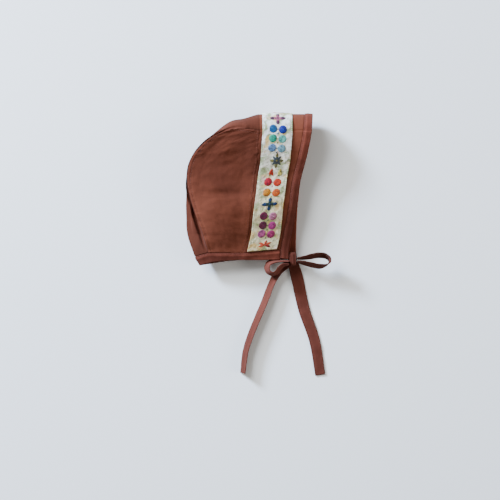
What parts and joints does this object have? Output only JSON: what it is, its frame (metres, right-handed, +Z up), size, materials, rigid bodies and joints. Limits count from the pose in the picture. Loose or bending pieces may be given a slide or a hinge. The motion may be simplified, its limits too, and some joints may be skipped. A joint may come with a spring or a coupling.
{
  "type": "baby bonnet",
  "caption": "Soft cloth baby bonnet with a narrow crown panel, a flowered ribbon round the brim and ties in a bow, lying on its side.",
  "frame": {"origin": "middle of the whole as it lies, on the surface under it", "axes": "+X is the way the face opening looks, +Y from the neck edge to the crown, +Z up from the surface through the two sides"},
  "size_m": [0.1548, 0.2784, 0.0352],
  "materials": {
    "side_panel_upper": "matte rust brown woven cotton",
    "side_panel_lower": "matte rust brown woven cotton",
    "crown_panel": "matte rust brown woven cotton",
    "front_band": "matte rust brown woven cotton",
    "front_casing": "matte rust brown woven cotton",
    "trim_ribbon": "cream ribbon with embroidered dots and flowers",
    "neck_casing": "matte rust brown woven cotton",
    "tie_lower": "folded and stitched cotton tape",
    "bow_knot": "folded and stitched cotton tape",
    "bow_loop_left": "folded and stitched cotton tape",
    "bow_loop_right": "folded and stitched cotton tape",
    "bow_tail_left": "folded and stitched cotton tape",
    "bow_tail_right": "folded and stitched cotton tape"
  },
  "bodies": {
    "root": {"side_panel_upper": "side_panel_upper", "side_panel_lower": "side_panel_lower", "crown_panel": "crown_panel", "front_band": "front_band", "front_casing": "front_casing", "trim_ribbon": "trim_ribbon", "neck_casing": "neck_casing", "tie_lower": "tie_lower", "bow_knot": "bow_knot", "bow_loop_left": "bow_loop_left", "bow_loop_right": "bow_loop_right", "bow_tail_left": "bow_tail_left", "bow_tail_right": "bow_tail_right"}
  },
  "joints": []
}
